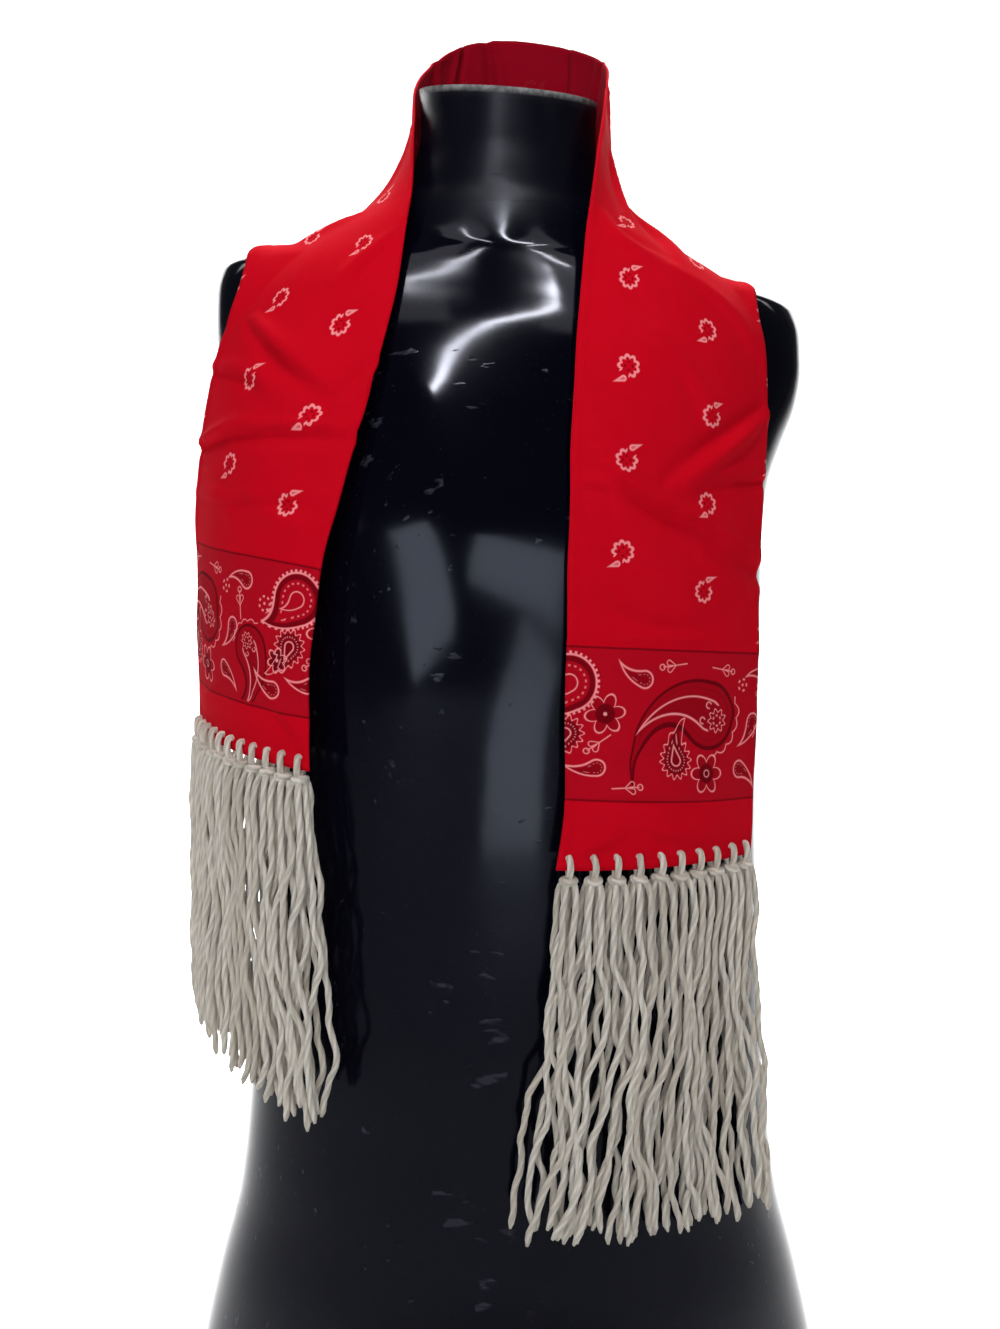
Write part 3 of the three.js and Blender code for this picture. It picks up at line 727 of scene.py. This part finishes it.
    def field_ring(self):
        """small scalloped rings with a leaf, in staggered rows over the middle of the strip"""
        first_column = self.across - 32
        column = (first_column / self.RING_COLUMN + 0.5).math("FLOOR")
        aside = first_column - column * self.RING_COLUMN
        run = self.along + column * 21 - 29
        row = (run / self.RING_ROW + 0.5).math("FLOOR")
        way = 1 - ((row + column).math("WRAP", 2, 0) > 0.5) * 2
        x, y = aside * way, (run - row * self.RING_ROW) * way
        far, angle = self.round_about(x, y)
        ring = self.line(far - 4.8 - abs((angle * 4.5).math("COSINE")) * 1.5, 1.9)
        ring = ring * (abs(angle - 1.05) > 0.5)
        leaf_far, leaf_angle = self.round_about(x - 3.2, y - 7.4, 20)
        leaf_gap = self.drop(leaf_far, leaf_angle, 1.3, 4.6)
        leaf = self.line(leaf_gap, 1.2).most(self.soft(leaf_gap) * 0.4)
        beads = self.line(far - 2.4, 0.8) * ((angle * 4).math("COSINE") > 0.2)
        centre = self.height - (run - row * self.RING_ROW) * (1 - 2 * self.left)
        clear = centre > self.BAND + 9
        return ring.most(leaf) * clear, beads * clear * 0.9

    def band(self):
        """one length of the border band, which repeats along the cloth of the strip"""
        self.great_paisley((97, 53), 28, flip=-1)
        self.great_paisley((156, 36), 300, bulb=14.5)
        self.toothed_round((2, 72), 235)
        self.star((24, 54), 12.5, 8)
        self.star((95, 17), 12.5, 0, ring=True)
        self.star((181, 32), 8, 20)
        self.small_drop((49, 75), 170)
        self.small_drop((18, 20), 197)
        self.small_drop((125, 19), 345)
        self.small_drop((137, 48), 250)
        self.small_drop((150, 78), 20, flip=-1)
        self.small_drop((178, 13), 170)
        self.sprig((70, 84), 188)
        self.sprig((108, 82), 188, flip=-1)
        self.sprig((36, 8), 4)
        self.sprig((20, 36), 215)
        self.sprig((145, 62), 100)
        self.dots((127, 72), 3.8, 5)
        self.dots((168, 66), 4.4, 7)
        self.jagged_leaf((71, 25), 100)
        self.jagged_leaf((0, 42), 250)
        inside_band = (self.height > 2) * (self.height < self.BAND - 2)
        ground = (self.height > 0) * (self.height < self.BAND)
        lines = self.line(self.height, 1.2).most(self.line(self.height - self.BAND, 1.2))
        return self.light * inside_band, self.dark * inside_band, ground, lines


def printed_cotton(name, strength):
    """cotton dyed red all through, print strong on the face and faint on the reverse, whose red is
    darkened as painted shade
    """
    cotton = Finish(
        name,
        Roughness=0.9,
        Sheen_Weight=0.03,
        Sheen_Roughness=0.5,
        Sheen_Tint=(1, 0.2, 0.25, 1),
        Specular_IOR_Level=0.03,
    )
    marks = Print(cotton)
    light, dark, ground, lines = marks.band()
    ring, ring_dark = marks.field_ring()
    place = cotton.add("ShaderNodeTexCoord", out=3)
    mottle = cotton.noise(place, 24.0, 4.0, 0.6)
    fibre = cotton.noise(place, 1400.0, 2.0, 0.7)
    patchy = 0.78 + fibre * 0.4
    red = cotton.mix(mottle, (0.57, 0.0012, 0.009, 1), (0.67, 0.0022, 0.014, 1))
    red = cotton.mix(ground * 0.55 * strength, red, (0.40, 0.004, 0.014, 1))
    red = cotton.mix(lines * 0.8 * strength, red, (0.13, 0.0015, 0.005, 1))
    red = cotton.mix(dark.most(ring_dark) * 0.88 * strength, red, (0.11, 0.001, 0.004, 1))
    pale = light.most(ring) * patchy * strength
    red = cotton.mix(pale.math("MULTIPLY", 0.95, clamp=True), red, (1, 0.31, 0.32, 1))
    # painted shade: below full strength the red is darkened towards a deep red, as if the reverse
    # lay in shadow
    cotton.shade("Base Color", cotton.mix(1 - strength, red, (0.2, 0.002, 0.01, 1)))
    warp = (marks.across * (2 * math.pi / WARP_PITCH)).math("SINE")
    weft = (marks.along * (2 * math.pi / WEFT_PITCH)).math("SINE")
    crumple = cotton.noise(place, 55.0, 5.0, 0.55)
    hem_line = marks.line(marks.from_end - HEM, 0.5)
    side = marks.across.least(STRIP_WIDTH - marks.across)
    stitch = hem_line.most(marks.line(side - HEM, 0.5)) * -0.5
    height = warp * weft * 0.03 + crumple * 0.9 + stitch * 0.4
    bump = cotton.add("ShaderNodeBump", {}, {"Strength": 0.3, "Distance": 0.0022, "Height": height})
    cotton.shade("Normal", bump)
    return cotton.material


scarf.material_slots[0].material = printed_cotton("printed_cotton_face", 1.0)
# the reverse is a darker copy of the face's cotton, with faint print: its darkness is painted shade
scarf.material_slots[1].material = printed_cotton("printed_cotton_reverse_painted_shade", 0.15)
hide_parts("front_right", "neck_stretch", "front_left")
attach(scarf, "root")


# Fringe: bulky cream yarn cut to length, folded in bundles over each hem of the scarf, drawn
# through it and knotted just under it. The ends hang loose and wavy, and keep their plies.
YARN_RADIUS = 2.15
PLY_DEPTH = 0.11
PLIES = 3
PLY_PITCH = 13.0
YARN_SIDES = 12
KNOT_HIGH = 5
LAYERS = 3
LAYER_STEP = 5.2
ROOT_DROP = 5.5
LOOP = [
    # off the hem's face, above the hem, share of the lean
    (0.0, 7.6, 0.2), (1.9, 7.4, 0.3), (2.9, 4.0, 0.6), (3.1, 0.5, 0.8), (2.4, -3.0, 0.6),
    (1.2, -6.5, 0.0),
]
KINKS = [
    # size, length
    (0.22, 15.0), (0.9, 34.0), (1.6, 62.0),
]
ENDS = [
    # piece, tassel nodes, station, tassels, length at inner and outer edge, splay there, phase
    ("fringe_right", "tassel_right_", 0, 10, (217, 226), (-24, 11), 0),
    ("fringe_left", "tassel_left_", 26, 11, (214, 180), (-10, 6), 1),
]


def yarn_tube(path, radius, twist_start, taper=True):
    """a plied yarn along a path: a round with soft lobes that turn as they run along it"""
    steps = np.diff(path, axis=0)
    run = np.concatenate([[0], np.cumsum(np.linalg.norm(steps, axis=1))])
    way = np.gradient(path, axis=0)
    way /= np.linalg.norm(way, axis=1, keepdims=True)
    guide = np.array([0.31, -0.92, 0.24])
    first = np.cross(way, guide)
    first /= np.linalg.norm(first, axis=1, keepdims=True)
    second = np.cross(way, first)
    turn = np.linspace(0, 2 * math.pi, YARN_SIDES, endpoint=False)
    twist = 2 * math.pi * run / (PLY_PITCH * PLIES) + twist_start
    lobe = np.cos(PLIES * (turn[None, :] - twist[:, None]))
    width = radius * (1 - PLY_DEPTH + PLY_DEPTH * lobe)
    if taper:
        end = np.minimum(1, (run[-1] - run) / 3.0)
        width = width * (0.45 + 0.55 * np.sqrt(end))[:, None]
    x, y = np.cos(turn), np.sin(turn)
    round_it = x[None, :, None] * first[:, None, :] + y[None, :, None] * second[:, None, :]
    points = path[:, None, :] + width[..., None] * round_it
    rings = len(path)
    index = np.arange(rings * YARN_SIDES).reshape(rings, YARN_SIDES)
    right = np.roll(index, -1, axis=1)
    faces = np.stack([index[:-1], right[:-1], right[1:], index[1:]], -1).reshape(-1, 4).tolist()
    faces.append(index[0, ::-1].tolist())
    faces.append(index[-1].tolist())
    return points.reshape(-1, 3), faces, np.repeat(run, YARN_SIDES)


def side_wave(place, drop, layer, phase):
    grown = 1 - np.exp(-drop / 50)
    slow = np.sin(place / 21 + drop / 37 + 1.9 * layer + phase)
    quick = np.sin(place / 34 - drop / 17 + 2.6 * layer + 2 * phase)
    return grown * (5.2 * slow + 3 * quick)


def wall_point(station, share):
    station, share = np.array([float(station)]), np.array([share])
    lift = along_strip(station)[..., 6] * 4 * share * (1 - share)
    lifted = flat_point(station, share) + flat_normal(station, share) * lift[..., None]
    return lift_off_form(lifted, 1.0)[0]


def width_at(station):
    row = along_strip(np.array([float(station)]))[0]
    return np.linalg.norm(row[3:6] - row[0:3])


def tied_bundle(station, share, lengths, splays, phase, chance):
    """the yarns of one bundle as paths: a loop on each face of the hem, its knot and its ends"""
    before, hem, after = (wall_point(station, share + step) for step in (-0.04, 0, 0.04))
    along = (after - before) * (1, 1, 0)
    along /= np.linalg.norm(along)
    out = np.array([along[1], -along[0], 0])
    if out @ (hem * (1, 1, 0)) < 0:
        out = -out
    hem = hem + out * 0.75
    place = share * width_at(station)
    length = lengths[0] + (lengths[1] - lengths[0]) * share
    splay = splays[0] + (splays[1] - splays[0]) * share
    paths = []
    up = np.array([0, 0, 1.0])
    lean = chance.uniform(-1.2, 1.2)
    for face in (1, -1):
        loop = [hem + out * face * a + up * b + along * lean * c for a, b, c in LOOP]
        paths.append((smooth_path(loop, 16), 2.2, False))
    knot = hem - up * (KNOT_HIGH + 1.0)
    turns = np.linspace(0, 2 * math.pi * 1.04, 26) + chance.uniform(0, 6)
    tilt = chance.uniform(-1.6, 1.6)
    wrap = [
        knot + along * 3.3 * math.cos(t) + out * 4.1 * math.sin(t) + up * tilt * math.cos(t + 0.6)
        for t in turns
    ]
    paths.append((np.array(wrap), 2.6, False))
    for layer in range(LAYERS):
        for offset in (-3.7, 3.7):
            ends = length + chance.uniform(-11, 3)
            drop = np.linspace(0, ends, 58)
            opened = 1 - np.exp(-drop / 6)
            shift = offset * (0.5 + 0.5 * opened) + side_wave(place + offset, drop, layer, phase)
            shift = shift + splay * (drop / ends) ** 1.4 + 2.5 * (layer - 1) * opened
            kinks = 0
            for size, pace in KINKS:
                start = chance.uniform(0, 2 * math.pi)
                pace = pace * chance.uniform(0.85, 1.2)
                kinks = kinks + size * np.sin(2 * math.pi * drop / pace + start)
            gather = (place + offset) / 6.1 + 1.3 * np.sin(drop / 41 + 2 * phase) + 0.5 * layer
            clump = (4.6 - 3.6 * phase) * np.sin(gather)
            shift = shift + kinks * smoothstep(drop, 2, 60) + clump * smoothstep(drop, 30, 110)
            spread = LAYER_STEP * (0.45 + 0.55 * opened)
            back = hem + along * shift[:, None] - out * (spread * (LAYERS - 1) / 2)[:, None]
            back[:, 2] = hem[2] - ROOT_DROP - drop
            clear = lift_off_form(back, 3.0)
            clear[:, 2] = back[:, 2]
            rock = 0.7 * np.sin(drop / chance.uniform(7, 12) + chance.uniform(0, 6))
            rock = rock * smoothstep(drop, 4, 50)
            paths.append((clear + out * (spread * layer + rock)[:, None], YARN_RADIUS, True))
    return paths


def smooth_path(points, count):
    points = np.array(points)
    rows = np.vstack([2 * points[0] - points[1], points, 2 * points[-1] - points[-2]])
    spot = np.linspace(0, len(points) - 1, count)
    i = np.clip(np.floor(spot).astype(int), 0, len(points) - 2)
    t = (spot - i)[:, None]
    a, b, c, d = rows[i], rows[i + 1], rows[i + 2], rows[i + 3]
    m, n = (c - a) / 2, (d - b) / 2
    return (2 * b - 2 * c + m + n) * t ** 3 + (3 * c - 3 * b - 2 * m - n) * t ** 2 + m * t + b


wool = Finish(
    "cream_yarn",
    Roughness=0.95,
    Sheen_Weight=0.55,
    Sheen_Roughness=0.45,
    Specular_IOR_Level=0.15,
)
place = wool.add("ShaderNodeTexCoord", out=3)
tone = wool.add("ShaderNodeAttribute", {"attribute_name": "tone"}, out=2)
hairs = wool.noise(place, 1100.0, 3.0, 0.7)
patches = wool.noise(place, 70.0, 3.0)
cream = wool.mix(tone, (0.62, 0.54, 0.43, 1), (0.92, 0.85, 0.73, 1))
cream = wool.mix(patches * 0.4, cream, (0.74, 0.66, 0.58, 1))
# painted shade: the cream is darkened in the grooves between the plies, where shade falls on real
# yarn
painted_groove_shade = wool.add("ShaderNodeAttribute", {"attribute_name": "painted_groove_shade"}, out=2)
wool.shade("Base Color", wool.mix(painted_groove_shade * 0.7, cream, (0.42, 0.36, 0.28, 1)))
fuzz = {"Strength": 0.6, "Distance": 0.0012, "Height": hairs + patches * 0.4}
wool.shade("Normal", wool.add("ShaderNodeBump", {}, fuzz))

fringes = []
for name, nodes, end_station, tassels, lengths, splays, phase in ENDS:
    chance = np.random.default_rng(len(fringes) + 5)
    points, faces, tones, painted_groove_shades = [], [], [], []
    for number in range(tassels):
        paths = tied_bundle(end_station, (number + 0.5) / tassels, lengths, splays, phase, chance)
        for path, radius, loose in paths:
            start = sum(len(p) for p in points)
            tube, tube_faces, run = yarn_tube(path, radius, chance.uniform(0, 2), loose)
            points.append(tube)
            faces += [[corner + start for corner in face] for face in tube_faces]
            tones.append(np.full(len(tube), chance.uniform(0, 1)))
            # how far each point lies inside the yarn's full round, which sets the painted shade in
            # the ply grooves
            middle = np.repeat(path, YARN_SIDES, axis=0)
            depth = 1 - np.linalg.norm(tube - middle, axis=1) / radius
            painted_groove_shades.append(np.clip(depth / (2 * PLY_DEPTH), 0, 1))
    mesh = bpy.data.meshes.new(name)
    mesh.from_pydata((np.vstack(points) * MM).tolist(), [], faces)
    for label, values in (("tone", tones), ("painted_groove_shade", painted_groove_shades)):
        layer = mesh.attributes.new(label, "FLOAT", "POINT")
        layer.data.foreach_set("value", np.concatenate(values).astype(np.float32))
    fringe = bpy.data.objects.new(name, mesh)
    bpy.context.collection.objects.link(fringe)
    bare_start()
    fringe.select_set(True)
    bpy.context.view_layer.objects.active = fringe
    bpy.ops.object.mode_set(mode="EDIT")
    bpy.ops.mesh.select_all(action="SELECT")
    bpy.ops.mesh.normals_make_consistent(inside=False)
    bpy.ops.object.mode_set(mode="OBJECT")
    bpy.ops.object.shade_smooth_by_angle(angle=math.radians(60))
    mesh.materials.append(wool.material)
    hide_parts(*[f"{nodes}{number + 1:02d}" for number in range(tassels)])
    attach(fringe, "root")
    fringes.append(fringe)
